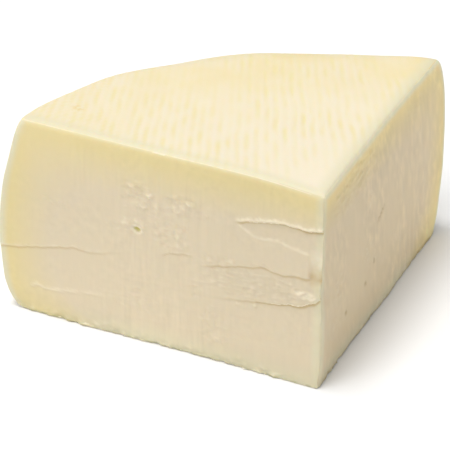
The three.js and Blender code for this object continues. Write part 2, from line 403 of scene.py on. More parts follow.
def weave_across(x, y):
    """Distance across the weave's grooves, in millimetres. y is measured from the axis."""
    off = y - WEAVE_MIDDLE
    return (x - WEAVE_SLANT * off) / (1 - WEAVE_FAN * off) + 1.1 * wander(x, y, 26, 3)


def pressed(x, y):
    """How deep the cloth pressed a place on the top, from 0 to 1."""
    turns = weave_across(x, y) / WEAVE_PITCH
    groove = 0.5 - 0.5 * math.cos(2 * math.pi * turns)
    dashes = 0.25 + 0.75 * rise(-0.4, 0.4, wander(9 * turns, 0.6 * y, 7, 5))
    patches = 0.5 + 0.5 * rise(-0.3, 0.3, wander(x, y, 38, 12))
    left_side = 0.4 * rise(-10, -50, x)
    return groove * dashes * min(patches + left_side, 1) * rise(14, 50, math.hypot(x, y))


print("grooves in 100 mm:", round((weave_across(50, 100) - weave_across(-50, 100)) / WEAVE_PITCH))

# %% [markdown]
# Boards and folds of cloth shaped the rest of the rind. The top sinks at the point and at the far
# shoulder, and its middle swells. The heel is faintly flat between the folds, and bulges at both
# ends, where the knife let it go.

# %% Relief of the rind
POINT_SAG = 2.2
FAR_SHOULDER_SAG = 1.6
RIM_SWELL = 1.1
LEFT_END_SWELL, RIGHT_END_SWELL = 0.8, 2.4  # the heel swelled where the knife let it go
RIM_FACETS = 15  # flats round the whole wheel
FACET_ANGLE = -0.323


def top_relief(radius, angle, x, y):
    """How far the top stands above the wheel's nominal height."""
    crown = TOP_CROWN * (0.8 + 0.2 * math.sin(radius / 19 + 2 * angle))
    point = POINT_SAG * math.exp(-((radius / 22) ** 2))
    far_side = rise(-0.1, 0.45, math.sin(angle)) * (1 - rise(0.5, 0.68, math.sin(angle)))
    shoulder = FAR_SHOULDER_SAG * far_side * rise(95, 165, radius)
    return crown - point - shoulder + 0.25 * wander(x, y, 28, 1) - WEAVE_DEPTH * pressed(x, y)


def rim_relief(angle, height):
    """How far the heel stands outside the section."""
    folds = RIM_SWELL * math.cos(RIM_FACETS * (angle - FACET_ANGLE)) * rise(2, 20, height)
    folds += 0.3 * wander(angle * WHEEL_RADIUS, height, 22, 8) * rise(1, 12, height)
    folds += LEFT_END_SWELL * rise(0.55, 0.7, -math.sin(angle)) * rise(10, 40, height)
    return folds + RIGHT_END_SWELL * rise(0.5, 0.7, math.sin(angle)) * rise(10, 40, height)


print("top, mm, out from the point:", [round(top_relief(r, 0, 0, r), 2) for r in (0, 50, 100, 150)])

# %% [markdown]
# The left-hand cut carries the story of the knife. The blade was drawn towards the point, stuck, and dragged
# the soft paste into terraces: it stands proud above each line and is pulled deep below. A line is a few
# points, as distance along the cut from the point and height. With it go the sizes of its lip and its drop,
# how deep its crack is and how dark it is painted as shade, and how pale its lip is painted as a highlight.

# %% Lines that the knife dragged
LONG_SEAM = [
    (104, 53.7), (115, 50.6), (124, 47.7), (132, 45.6), (142, 46.3), (156, 42.4), (170, 38.9), (192, 34.5),
]
SHORT_SEAM = [(71, 60), (78, 59.6), (86, 58), (91, 55.6)]
POINT_SEAM = [
    (3, 64.2), (15, 63.7), (20, 62.4), (28, 62.8), (34, 63.9), (38, 62.3), (45, 61.3), (52, 59.3), (62, 57),
    (70, 55),
]
LOWER_TEAR = [
    (-3, 57), (0, 54.5), (3, 50.8), (8, 48.2), (12, 46.3), (18, 45.7), (25, 43.8), (35, 42.6), (46, 40.6),
    (58, 39), (66, 37.5),
]
FOOT_TERRACE = [(95, 25), (124, 21.3), (141, 18.9), (152, 16.5), (158, 15.9), (163, 17), (168, 15)]
TERRACES = [  # the lip and its reach above the line, the drop and its reach below, the fading ends
    dict(line=LONG_SEAM, lip=0.35, above=5, drop=0.35, below=7, ends=(52, 0.2), crack=0.55, pale_and_highlight=0.5),
    dict(line=SHORT_SEAM, lip=0.2, above=4, drop=0.35, below=3, ends=(5, 3), crack=0.4, pale_and_highlight=0.3),
    dict(line=POINT_SEAM, lip=0.45, above=8, drop=0.5, below=5, ends=(4, 12), crack=0.6, pale_and_highlight=0.3),
    dict(line=LOWER_TEAR, lip=0.6, above=3, drop=1.1, below=8, ends=(0.2, 50), crack=0.9, pale_and_highlight=0.4),
    dict(line=FOOT_TERRACE, lip=0.3, above=1.4, drop=0.25, below=4, ends=(60, 2), crack=0.1, pale_and_highlight=0.7),
]
print("dragged lines:", len(TERRACES))

# %% [markdown]
# One function turns any such line into a terrace. Noise makes it ragged, both ends fade out, and a
# narrow crack opens just under the lip.

# %% Terraces
CRACK_DEPTH = 0.5


def beside(along, up_mm, mark):
    """How far a point lies above a mark's line, and how much of the mark is there, from 0 to 1."""
    line, ends = mark["line"], mark["ends"]
    first, last = line[0][0], line[-1][0]
    here = rise(first - 0.1, first + ends[0], along) * (1 - rise(last - ends[1], last + 0.1, along))
    ragged = 0.4 * wander(along, 0, 4, line[0][1]) + 0.25 * wander(along, 0, 1.6, line[0][1])
    return up_mm - along_line(line, along) - ragged, here


def cracked(off):
    """How deep the crack under a line is, from 0 to 1, at a distance above the line."""
    return math.exp(-((off + 0.55) / 0.6) ** 2)


def terrace(along, up_mm, mark):
    """Relief beside a dragged line: a proud lip that dies out above it, a crack, and a hollow."""
    off, here = beside(along, up_mm, mark)
    if here <= 0:
        return 0
    proud = mark["lip"] * math.exp(-max(off, 0) / mark["above"])
    deep = -mark["drop"] * math.exp(min(off, 0) / mark["below"])
    step = mix(deep, proud, rise(-0.4, 0.4, off))
    return here * (step - CRACK_DEPTH * mark["crack"] * cracked(off))


def terraces(along, up_mm):
    return sum(terrace(along, up_mm, mark) for mark in TERRACES)


print("step over the long seam, mm:", round(terraces(160, 43) - terraces(160, 38), 2))

# %% [markdown]
# Near the point a flake of paste tore off between two lips. The upper lip hangs over and throws the
# sharpest shadow on this face, and the hollow comes back to the surface at a thin lower lip.

# %% Torn flake
FLAKE_TIP = 49.5
FLAKE_ROOF = [(-3, 94.5), (1, 93.4), (9, 91.4), (16, 92), (25, 91.7), (34, 90.1), (42, 88.4), (50, 86.8)]
FLAKE_SILL = [
    (7, 77.6), (9, 77.8), (18, 79.2), (25, 81.2), (34, 80.1), (38, 80.6), (43, 82.7), (46, 84.6), (50, 86.8),
]
FLAKE_EDGES = [
    dict(line=FLAKE_ROOF, ends=(0.1, 5), crack=0.9, pale_and_highlight=1.0),
    dict(line=FLAKE_SILL, ends=(1, 4), crack=0.0, pale_and_highlight=0.5),
]
FLAKE_DEPTH = 1.5
FLAKE_LIP = 0.7
SILL_LIP = 0.25


def flake(along, up_mm):
    """The hollow that the torn flake left, with a lip over it and a lip under it."""
    if along > FLAKE_TIP:
        return 0
    spread = rise(0, 20, FLAKE_TIP - along) ** 0.5
    over_roof, over_sill = (beside(along, up_mm, edge)[0] for edge in FLAKE_EDGES)
    if over_roof >= 0:
        return FLAKE_LIP * spread * math.exp(-over_roof / 2.6)
    if over_sill <= 0:
        return SILL_LIP * spread * math.exp(over_sill / 3.2)
    up_the_hollow = over_sill / (over_sill - over_roof)
    floor = -FLAKE_DEPTH * up_the_hollow ** 0.8 - CRACK_DEPTH * cracked(over_roof)
    hollow = mix(FLAKE_LIP, floor, rise(0, 0.8, -over_roof))
    return spread * (hollow + SILL_LIP * math.exp(-over_sill / 0.8))


print("deepest in the flake, mm:", round(min(flake(20, z / 2) for z in range(150, 190)), 2))

# %% [markdown]
# Beside the point the tear ran on down as a rough scar. Where the lower tear runs out the paste
# crumpled into a small curl, and near the bottom edge a thin flake lifted.

# %% Scar, curl and thin flake
SCAR_WIDTH = 7.8
CURL = (8, 53.8, 16, 6)  # distance along the cut, height, width, height across
BOTTOM_FLAKE = [(117.5, 6.9), (121, 5.2), (126, 2.5)]


def scar(along, up_mm):
    """The torn strip that runs down the point from the flake to the seam."""
    side = 1 - rise(SCAR_WIDTH - 2, SCAR_WIDTH, along + 0.8 * wander(up_mm, 0, 5, 4))
    height = rise(58, 66, up_mm) * (1 - rise(77, 84, up_mm))
    rough = 0.5 * wander(along, up_mm, 3.5, 7) + 0.15 * wander(along, up_mm, 1.8, 9)
    return side * height * (rough - 0.8)


def curl(along, up_mm):
    """The crumpled paste where the lower tear runs out at the point, from 0 to 1."""
    x, z, width, tall = CURL
    here = 1 - rise(0.5, 1, math.hypot((along - x) / (width / 2), (up_mm - z) / (tall / 2)))
    return here * rise(-0.3, 0.4, wander(along / 2, up_mm + 0.5 * along, 1.8, 81))


def bottom_flake(along, up_mm):
    """A thin curl of paste near the bottom edge, with a hollow behind it."""
    first, last = BOTTOM_FLAKE[0][0], BOTTOM_FLAKE[-1][0]
    here = rise(first - 1, first + 1, along) * (1 - rise(last - 1, last + 1, along))
    off = up_mm - along_line(BOTTOM_FLAKE, along)
    return here * (0.8 * math.exp(-((off / 0.9) ** 2)) - 0.5 * math.exp(-(((off - 2.2) / 1.1) ** 2)))


print("scar and thin flake, mm:", round(scar(3, 70), 2), round(bottom_flake(121, 5.2), 2))

# %% [markdown]
# Little light reaches the floor of a crack, and a thin lip catches the light. Both are finer than the
# lattice, so they also become two numbers that the finish will read: painted shade for the crack, and a
# painted highlight for the lip.

# %% Painted shade of cracks, painted highlight of lips
def lines_drawn(along, up_mm):
    """How much painted shade darkens the crack at a point, and how much painted highlight pales the lip,
    from 0 to 1.
    """
    dark = pale_and_highlight = 0
    for mark in TERRACES + FLAKE_EDGES:
        off, here = beside(along, up_mm, mark)
        opened = 1 + 0.7 * (1 - rise(5, 25, along))
        dark = max(dark, here * mark["crack"] * cracked(off / opened))
        uneven = 0.75 + 0.35 * wander(along, 0, 5, 73) + 0.3 * wander(along, up_mm, 1.5, 74)
        thick = (0.3 + 1.2 * mark["pale_and_highlight"]) * uneven
        pale_and_highlight = max(pale_and_highlight, here * mark["pale_and_highlight"] * uneven * math.exp(-((off - thick) / thick) ** 2))
    return dark, pale_and_highlight


print("dark and pale at the long seam:", [round(v, 2) for v in lines_drawn(170, 38.4)])

# %% [markdown]
# Small eyes opened in the paste while it ripened. Each is a round hollow with a low rim, placed one by one
# where it lies on the real cut.

# %% Eyes
EYES = [  # distance along the cut, height, width, height across, depth
    (104.7, 67.1, 4.2, 2.9, 1.2),  # the one that is deep enough to show its lining
    (117.1, 64.8, 1.9, 1.6, 0.5),
    (93.6, 42.6, 2.2, 1.5, 0.6),
    (78.4, 51.0, 2.0, 1.6, 0.5),
    (71.0, 40.5, 2.0, 3.4, 0.6),
    (6.7, 33.1, 1.7, 1.5, 0.8),
]
RIGHT_EYES = [(39.6, 24.2, 3.6, 3.6, 1.6), (66.3, 26.3, 3.0, 3.0, 1.2), (77.7, 34.9, 2.6, 3.0, 1.2)]


def eye_at(along, up_mm, eye):
    """How much of an eye's hollow lies at a point, from 0 to 1, and of its rim."""
    x, z, width, height = eye[:4]
    off = math.hypot((along - x) / (width / 2), (up_mm - z) / (height / 2))
    return 1 - rise(0.55, 1.15, off), rise(0.8, 1.2, off) * (1 - rise(1.2, 2.2, off))


def eyes(along, up_mm, listed):
    total = 0
    for eye in listed:
        hollow, rim = eye_at(along, up_mm, eye)
        total += 0.08 * eye[4] * rim - eye[4] * hollow
    return total


print("eyes:", len(EYES + RIGHT_EYES))

# %% [markdown]
# Where curd was loose the blade pulled out crumbs. A crumbled spot is a patch, also placed one by one, in
# which fine noise breaks the smooth cut. The foot of both cuts is crumbled too.

# %% Crumbled spots
CRUMBLED = [  # distance along the cut, height, half width, half height, strength
    (104, 86, 11, 10, 1.1), (79, 87, 10, 7, 1.2), (66.5, 84.5, 5, 2.5, 0.8), (80, 71, 6, 7, 0.8),
    (107, 69, 10, 6, 1.2), (92, 74, 8, 14, 0.6), (118, 66, 5, 3, 0.6), (151, 71, 9, 3, 0.4),
    (70, 41, 4, 7, 0.6), (78, 62, 9, 7, 0.5), (55, 60, 12, 6, 0.5), (42, 42, 14, 5, 0.5),
    (60, 20, 9, 15, 0.45), (105, 24, 16, 9, 0.3), (35, 64, 6, 2, 0.5),
]
RIGHT_CRUMBLED = [
    (67, 48, 9, 9, 0.7), (76, 38, 8, 7, 0.7), (25, 46, 12, 9, 0.5), (66, 72, 6, 14, 0.5),
    (45, 98, 34, 14, 0.45), (20, 24, 16, 16, 0.4), (130, 100, 14, 12, 0.35),
]


def crumbling(along, up_mm, spots):
    """How broken the paste is at a point, from 0 to 1."""
    most = 0.9 * (1 - rise(1, 6, up_mm + 3 * wander(along, 0, 7, 1))) * rise(5, 40, along)
    for x, z, wide, tall, strength in spots:
        off = ((along - x) / wide) ** 2 + ((up_mm - z) / tall) ** 2 + 0.5 * wander(along, up_mm, 5, 17)
        most = max(most, strength * (1 - rise(0.2, 1.2, off)))
    return most


def grain(along, up_mm):
    """The broken paste's own shape, from about -1.5 to 1.5, drawn out along the cut."""
    return wander(0.6 * along, up_mm, 2.6, 11) + 0.8 * wander(0.7 * along, up_mm, 1.4, 13)


def crumbs(along, up_mm, amount):
    return 1.7 * amount * (grain(along, up_mm) - 0.1)


print("crumbled spots:", len(CRUMBLED + RIGHT_CRUMBLED))

# %% [markdown]
# Between the point's seam and the tear below it the blade chattered and left fine scales, one under
# the other: noise that is drawn out along the cut.

# %% Scales
def chatter(along, up_mm):
    """The scales between the point's seam and the tear, from about -1 to 1."""
    window = rise(8, 16, along) * (1 - rise(60, 76, along))
    window *= rise(42, 47, up_mm) * (1 - rise(58, 62, up_mm))
    level = up_mm + 0.15 * along
    return window * (wander(along / 3, level, 1.5, 71) + 0.5 * wander(along / 2, level, 0.9, 72))


print("scales at three heights:", [round(chatter(40, z), 2) for z in (48, 52, 56)])

# %% [markdown]
# Under the marks lies the cut itself. Faint strokes run up each face, where the edge went down, and
# low ripples along the left one, where it was pulled out. A notch shows where it was first set
# down. On the right-hand cut the strokes are broader and lean, and a scratch crosses them.

# %% Strokes of the knife
STROKE_DEPTH = 0.11
LEAN = 0.22  # how far the strokes on the right-hand cut move in for each millimetre up
NOTCH = 93  # where the blade was first set down on the top edge
SCRATCH = (80.9, 57.5, 0.62)  # where the scratch starts, and its slope


def left_strokes(along, up_mm):
    """The fine upright strokes on the left-hand cut, from about -1 to 1."""
    patches = 0.25 + 0.75 * rise(-0.1, 0.4, wander(along, up_mm, 30, 23))
    middle = rise(45, 70, along) * (1 - rise(112, 130, along)) * (1 - rise(92, 102, up_mm))
    fine = wander(along, up_mm / 14, 1.4, 21) + 0.6 * wander(along, up_mm / 9, 3.5, 22)
    return fine * (patches + 0.9 * middle)


def right_strokes(along, up_mm):
    """The broad leaning strokes on the right-hand cut, strongest in its outer third."""
    level = along + LEAN * up_mm
    broad = 0.7 * wander(level, up_mm / 9, 6, 41) + wander(level, up_mm / 6, 2.8, 42)
    return broad * (0.3 + 0.7 * rise(108, 120, along) * (1 - rise(150, 165, along)))


def ripples(along, up_mm):
    low = rise(30, 50, along) * (1 - rise(115, 140, along)) * (1 - rise(38, 48, up_mm))
    near_point = 0.7 * rise(6, 16, along) * (1 - rise(60, 80, along)) * (1 - rise(64, 76, up_mm))
    window = max(low, near_point) * rise(8, 16, up_mm)
    return 0.22 * window * wander(along / 16, up_mm + 0.065 * along, 2.6, 15)


def notch(along, up_mm):
    """The notch in the left-hand cut's top edge, and the stroke below it."""
    stroke = -0.16 * math.exp(-((along - NOTCH) / 0.7) ** 2) * rise(72, 95, up_mm)
    top = rise(WHEEL_HEIGHT - 2.5, WHEEL_HEIGHT, up_mm)
    return stroke - 0.7 * math.exp(-((along - NOTCH) / 1.6) ** 2) * top


def scratch(along, up_mm):
    start, height, slope = SCRATCH
    off = up_mm - height - slope * (along - start)
    return -0.6 * math.exp(-((off / 1.1) ** 2)) * rise(79, 82, along) * (1 - rise(87, 91, along))


print("notch in the top edge, mm:", round(notch(NOTCH, WHEEL_HEIGHT), 2))

# %% [markdown]
# Soft cheese keeps no sharp edge. Each cut falls back where it meets the top, lumps of paste were
# squeezed out along the table, and below the tear the point was pushed over to the right.

# %% Edges and foot of the cuts
LEFT_TOP_ROUND, RIGHT_TOP_ROUND = 4.2, 2.2  # radius of each cut's edge with the top


def rounded(off, radius):
    """How far a face falls back beside a rounded edge, at a distance from the edge."""
    turn = math.radians(45) * (1 - min(max(off / radius, 0), 1))
    return -radius * (1 - math.cos(turn))


def foot_lumps(along, up_mm, size):
    """Paste squeezed out along the table, in lumps up to about twice the given size."""
    lumps = 0.4 + 0.8 * wander(along, 0, 11, 51) + 0.5 * wander(along, 0, 2.5, 52)
    return size * max(lumps, 0) * (1 - rise(0.5, 4, up_mm)) * rise(8, 30, along)


def pushed_foot(along, up_mm):
    """Below the tear the point was pushed over towards the right-hand cut."""
    return 1.3 * (1 - rise(0, 25, along)) * rise(0, 14, up_mm) * (1 - rise(42, 52, up_mm))


print("left edge falls back, mm:", round(rounded(0, LEFT_TOP_ROUND), 2))

# %% [markdown]
# For each cut all of this is added up. A blade never draws a true plane, so both faces also swell
# by a fraction of a millimetre.

# %% Relief of the cuts
def left_relief(along, up_mm):
    """How far the left-hand cut stands out of its plane."""
    swell = 0.35 * math.sin(along / 19 + 1) * math.cos(up_mm / 37) + 0.3 * wander(along, up_mm, 40, 2)
    torn = flake(along, up_mm) + scar(along, up_mm) + bottom_flake(along, up_mm) + 0.8 * curl(along, up_mm)
    small = eyes(along, up_mm, EYES) + 0.5 * chatter(along, up_mm)
    small += crumbs(along, up_mm, crumbling(along, up_mm, CRUMBLED))
    knife = terraces(along, up_mm) + ripples(along, up_mm) + notch(along, up_mm)
    edges = rounded(WHEEL_HEIGHT - up_mm, LEFT_TOP_ROUND) + foot_lumps(along, up_mm, 0.4)
    return swell + torn + small + knife + edges + STROKE_DEPTH * left_strokes(along, up_mm)


def right_relief(along, up_mm):
    """How far the right-hand cut stands out of its plane."""
    swell = 0.3 * math.sin(along / 19 + 3) * math.cos(up_mm / 37) + 0.3 * wander(along, up_mm, 40, 31)
    small = eyes(along, up_mm, RIGHT_EYES) + crumbs(along, up_mm, crumbling(along, up_mm, RIGHT_CRUMBLED))
    edges = rounded(WHEEL_HEIGHT - up_mm, RIGHT_TOP_ROUND) + foot_lumps(200 + 0.6 * along, up_mm, 1.2)
    strokes = scratch(along, up_mm) + 4 * STROKE_DEPTH * right_strokes(along, up_mm)
    return swell + small + edges + strokes + pushed_foot(along, up_mm)


print("left cut, mm, at the eye:", round(left_relief(*EYES[0][:2]), 2))

# %% [markdown]
# Cut paste is mottled where the blade roughened it, duller near the point, between the two seams and along
# its foot, and lighter at its outer top corner. On the right-hand cut, which is in the shade, streaks and a
# smear show by their colour, and painted light makes the whole cut lighter, more so towards the heel, at the
# heel's foot and under the top edge. A tone of 0 is the plain colour, and more is lighter.

# %% Light and dark of the cuts
SMEAR = (65, 90, 5, 20)  # distance along the right-hand cut, height, half width, half height


def mottle(along, up_mm):
    """Uneven light and dark of paste that the blade roughened, from about -1 to 1."""
    patches = rise(-0.4, 0.3, wander(along, up_mm, 25, 61))
    return patches * (wander(along, up_mm, 4, 62) + 0.8 * wander(along, up_mm, 2, 63))


def left_tone(along, up_mm):
    """How light the left-hand cut is."""
    dull = 1 - rise(40, 95, along)
    lighter_corner = rise(90, 160, along) * rise(70, 110, up_mm)
    patchy = 0.35 * mottle(along, up_mm) * (1 - 0.6 * lighter_corner)
    middle = rise(40, 80, along) * (1 - rise(105, 130, along))
    foot = 0.4 * (1 - rise(6, 16, up_mm)) * (1 - middle)
    scaled = 0.4 * rise(41, 48, up_mm) * (1 - rise(56, 63, up_mm)) * (1 - rise(45, 75, along))
    return 0.3 * (left_strokes(along, up_mm) - dull) + 0.45 * lighter_corner + patchy - foot - scaled


def right_tone_and_light(along, up_mm):
    """How light the right-hand cut is: streaked, mottled and smeared, with painted light that lightens all
    of it, more towards the heel, at the heel's foot and under the top edge.
    """
    x, z, wide, tall = SMEAR
    smear = 1 - rise(0.3, 1, math.hypot((along - x + LEAN * (up_mm - z)) / wide, (up_mm - z) / tall))
    streaks = 1.1 * right_strokes(along, up_mm) + 1.6 * mottle(along + LEAN * up_mm, 0.4 * up_mm)
    # Painted light lightens the whole shaded cut, more towards the heel; the smear is paler paste.
    lit_and_smeared = 0.5 + 0.5 * rise(60, 150, along) + 0.6 * rise(140, 178, along) + 0.8 * smear
    # more painted light low down near the heel
    lit_and_smeared += 1.6 * rise(135, 175, along) * (1 - rise(8, 44, up_mm))
    # painted light under the top edge, where light that entered the top comes out
    return lit_and_smeared + 1.6 * rise(98, 116, up_mm) + max(streaks, 0.5 * streaks)


print("tone of the left and right cut:", round(left_tone(160, 100), 2), round(right_tone_and_light(160, 100), 2))

# %% [markdown]
# Now a vertex can be placed. On a cut it moves out of the cut's plane, on the heel away from the
# axis, on the top upwards, and on an edge both ways.

# %% Where a vertex goes
RIGHT_NORMAL = Vector((math.cos(HALF_ANGLE), -math.sin(HALF_ANGLE), 0))
LEFT_NORMAL = Vector((-math.cos(HALF_ANGLE), -math.sin(HALF_ANGLE), 0))


def place(a, b, share, angle, radius, height):
    """Position in millimetres from the foot of the axis, for a lattice point."""
    level = Vector((math.sin(angle), math.cos(angle), 0))
    spot = level * radius + Vector((0, 0, height))
    if share > EDGE:
        lifted = rise(0.75, 0.98, height / WHEEL_HEIGHT)
        spot.z += top_relief(radius, angle, spot.x, spot.y) * lifted
    if share > 1 - EDGE:
        spot.z += rounded(radius * math.sin(HALF_ANGLE + angle), LEFT_TOP_ROUND)
        spot.z += rounded(radius * math.sin(HALF_ANGLE - angle), RIGHT_TOP_ROUND)
    spot += level * rim_relief(angle, height) * rise(0.76, 0.85, radius / WHEEL_RADIUS)
    if a < EDGE:
        spot += LEFT_NORMAL * left_relief(radius, height)
    if b < EDGE:
        spot += RIGHT_NORMAL * right_relief(radius, height)
    if share < EDGE:
        spot.z = 0
    return spot


print("top of the point, mm:", [round(v, 1) for v in place(0, 0, 1, 0, 0, WHEEL_HEIGHT)])

# %% [markdown]
# Salt and air dried the paste from outside. So the finish reads how deep a place lies under the rind, how
# pale it is beside an edge, how much painted shade darkens its foot where it meets the table, and how far it
# is from the other cut. The pale beside the top, the heel and the other cut is painted light, the glow that
# an edge catches and lets through; along the foot it is the paste's own paler colour.

# %% Deep paste, glowing edges and shaded foot
def depth_under_rind(along, up_mm, to_heel):
    """Distance in millimetres from the rind, which also turns under the foot of the heel."""
    to_top = max(WHEEL_HEIGHT - up_mm, EDGE)
    over_foot = 0.6 * rise(110, 165, along) / (up_mm + 3)
    return 1 / math.hypot(1 / to_heel, 1 / to_top, over_foot)


def edge_glow_and_pale_foot(along, up_mm, to_heel, on_right):
    """How pale the paste is beside the edges of a cut, from 0 to 1: painted light along the top and the
    heel, and its own paler colour along the foot.
    """
    to_top = WHEEL_HEIGHT - up_mm
    at_top = 1 - rise(1.5, 6, to_top) if on_right else 0.8 * (1 - rise(0, 3, to_top))
    at_foot = 0.8 * (1 - rise(0, 14, up_mm)) * (1 - 0.8 * rise(110, 160, along))
    return max(1 - rise(1.5, 6, to_heel), at_top, at_foot)


def shaded_foot(along, up_mm, on_right):
    """How much painted shade darkens the foot of a cut where it meets the table, from 0 to 1: a broken line,
    and a patchy strip above it.
    """
    seed = 56.5 if on_right else 55.5
    line = (1 - rise(0, 1.5, up_mm)) * rise(-0.35, 0.1, wander(along, 0, 5, seed))
    strip = 0.35 * (1 - rise(0.5, 6, up_mm)) * (0.6 + 0.8 * wander(along, 0, 9, seed + 2))
    return max(line, strip) * (0.3 if on_right else 1)


def to_other_cut(a, b, share, angle, radius):
    """Distance in millimetres from the nearest cut, or from the other one for a point on a cut."""
    from_left = radius * math.sin(angle + HALF_ANGLE)
    from_right = radius * math.sin(HALF_ANGLE - angle)
    if a < EDGE and share < 1:
        return from_right
    return from_left if b < EDGE and share < 1 else min(from_left, from_right)


print("depth under the rind, mm:", [round(depth_under_rind(90, z, 96)) for z in (10, 60, 110)])

# %% [markdown]
# What else it reads is gathered under names: how torn the crumbled spots are, the painted shade of cracks
# and pits, the pale colour and painted highlight of lips and crumbs, the lining of the deepest eye, the tone
# with the painted light of the right-hand cut, and the painted warmth of the shade on the right-hand cut.

# %% Numbers for the finish
def left_numbers(along, up_mm):
    """What marks the paste of the left-hand cut."""
    crack, pale_and_highlight = lines_drawn(along, up_mm)
    strip = -0.8 * scar(along, up_mm)
    eye, rim = eye_at(along, up_mm, EYES[0])
    pale_and_highlight = max(
        pale_and_highlight, 0.6 * strip * rise(66, 76, up_mm), 0.4 * chatter(along, up_mm),
        0.9 * curl(along, up_mm), 0.9 * rim * rise(-0.4, 0.1, grain(along, up_mm)),
    )
    crack = max(crack, strip * (1 - rise(62, 74, up_mm)))
    torn = crumbling(along, up_mm, CRUMBLED)
    return dict(torn=torn, crack=crack, pale_and_highlight=pale_and_highlight, eye=eye, tone_and_light=left_tone(along, up_mm))


def right_numbers(along, up_mm):
    """What marks the paste of the right-hand cut: painted shade in its pits and its scratch, and a broken
    line of painted shade along its foot, where it meets the table.
    """
    pit = max(eye_at(along, up_mm, eye)[0] for eye in RIGHT_EYES)
    foot_contact_shade = (1 - rise(0.3, 2.6, up_mm)) * rise(-0.5, 0.2, wander(along, up_mm, 4, 91))
    crack = 0.8 * max(pit, -1.6 * scratch(along, up_mm), foot_contact_shade)
    torn = crumbling(along, up_mm, RIGHT_CRUMBLED)
    return dict(torn=torn, crack=crack, tone_and_light=right_tone_and_light(along, up_mm))


def paste_numbers(a, b, radius, height, reach):
    """What the finish of the paste reads at a vertex, by name."""
    on_right = b < EDGE
    to_heel = max((1 - reach) * WHEEL_RADIUS, EDGE)
    numbers = dict(torn=0, crack=0, pale_and_highlight=0, eye=0, tone_and_light=0, warm_shade=float(on_right))
    numbers["depth"] = depth_under_rind(radius, height, to_heel)
    # rim is the pale beside the edges, painted light except along the foot; the next number is painted shade
    # at the table
    numbers["rim"] = edge_glow_and_pale_foot(radius, height, to_heel, on_right)
    numbers["foot_shade"] = shaded_foot(radius, height, on_right)
    if a < EDGE:
        numbers.update(left_numbers(radius, height))
    elif on_right:
        numbers.update(right_numbers(radius, height))
    # Crumbs that stand up get the pale colour: partly the whiter torn paste, partly a painted highlight
    # where their tops catch the light.
    if numbers["torn"] > 0:
        standing = rise(0.15, 0.8, grain(radius, height))
        numbers["pale_and_highlight"] = max(numbers["pale_and_highlight"], 0.5 * numbers["torn"] * standing)
    return numbers


print("numbers kept:", sorted(paste_numbers(0, 0.5, 93, 60, 0.5)))

# %% [markdown]
# One loop places every vertex and keeps its numbers as attributes of the mesh. Two more serve the
# rind: groove, how deep the cloth pressed, and around, which says how far round, how high and how
# far out the vertex lies.

# %% Place the vertices
mesh = cheese.data
for name in ("depth", "arris", "torn", "crack", "pale_and_highlight", "eye", "tone_and_light", "warm_shade", "rim", "foot_shade", "groove"):
    mesh.attributes.new(name, "FLOAT", "POINT")
mesh.attributes.new("around", "FLOAT_VECTOR", "POINT")
for i, vertex in enumerate(mesh.vertices):
    a, b, share = vertex.co
    angle, radius, height, reach = lay(a, b, share)
    spot = place(a, b, share, angle, radius, height)
    numbers = paste_numbers(a, b, radius, height, reach)
    numbers["arris"] = to_other_cut(a, b, share, angle, radius)
    numbers["groove"] = pressed(spot.x, spot.y) * rise(0.85, 0.98, height / WHEEL_HEIGHT)
    for name, number in numbers.items():
        mesh.attributes[name].data[i].value = number
    mesh.attributes["around"].data[i].vector = (angle * WHEEL_RADIUS, height, radius)
    vertex.co = Vector((spot.x, spot.y + AXIS_Y, spot.z)) * MM
mesh.update()
print("placed, mm:", [round(1000 * v) for v in cheese.dimensions])

# %% [markdown]
# Where two sides meet the lattice is still sharp, so the vertices along the folds are smoothed in
# edit mode, which rounds each edge over about a millimetre. The underside stays flat.

# %% Rounded edges
EDGE_ROUNDING = 4  # passes of smoothing
SHARP = math.radians(36)


def sharp_vertices(mesh, limit):
    """Indices of vertices on edges where two faces meet at more than an angle."""
    normals = {}
    for face in mesh.polygons:
        for pair in face.edge_keys:
            normals.setdefault(pair, []).append(face.normal.copy())
    sharp = set()
    for pair, faces in normals.items():
        if len(faces) == 2 and faces[0].angle(faces[1]) > limit:
            sharp.update(pair)
    return sharp


flat = [abs(v.co.z) < EDGE for v in mesh.vertices]
sharp = sharp_vertices(mesh, SHARP)
select_only("VERT", mesh.vertices, lambda vertex: vertex.index in sharp and not flat[vertex.index])
bpy.ops.mesh.select_more()
bpy.ops.object.mode_set(mode="OBJECT")
for vertex, is_flat in zip(mesh.vertices, flat):
    vertex.select = vertex.select and not is_flat
bpy.ops.object.mode_set(mode="EDIT")
bpy.ops.mesh.vertices_smooth(factor=0.5, repeat=EDGE_ROUNDING)
print("vertices on folds:", len(sharp))

# %% [markdown]
# The cells of the underside are dissolved into one face, which keeps the mesh light. Then all
# faces are turned outwards and shaded smooth, apart from any fold that is still sharp.

# %% Flat underside
SMOOTH_UP_TO = math.radians(50)

select_only("FACE", mesh.polygons, lambda face: all(flat[i] for i in face.vertices))
bpy.ops.mesh.dissolve_faces()
bpy.ops.mesh.select_all(action="SELECT")
bpy.ops.mesh.normals_make_consistent(inside=False)
bpy.ops.object.mode_set(mode="OBJECT")
bpy.ops.object.shade_smooth_by_angle(angle=SMOOTH_UP_TO)
mesh.calc_loop_triangles()
print("triangles:", len(mesh.loop_triangles))

# %% [markdown]
# Bare paste is pressed curd, ivory at heart, yellow in a band under the rind and paler along its foot.
# Painted light makes it pale along its other edges, for the glow that an edge catches and lets through, and
# the marks carry painted shade and painted highlights. The colour is built up in layers, each let in by a
# number.

# %% Colour of the paste
HEART = "DDCEB1"
UNDER_RIND = "E2D19B"
# painted light for the glow along the edges, and the foot's own paler colour
PALE_FOOT_AND_EDGE_GLOW = "DDD6B6"
# pale colour of torn paste, with a painted highlight where thin lips and standing crumbs catch the light
PALE_AND_HIGHLIGHT = "F2E6CC"
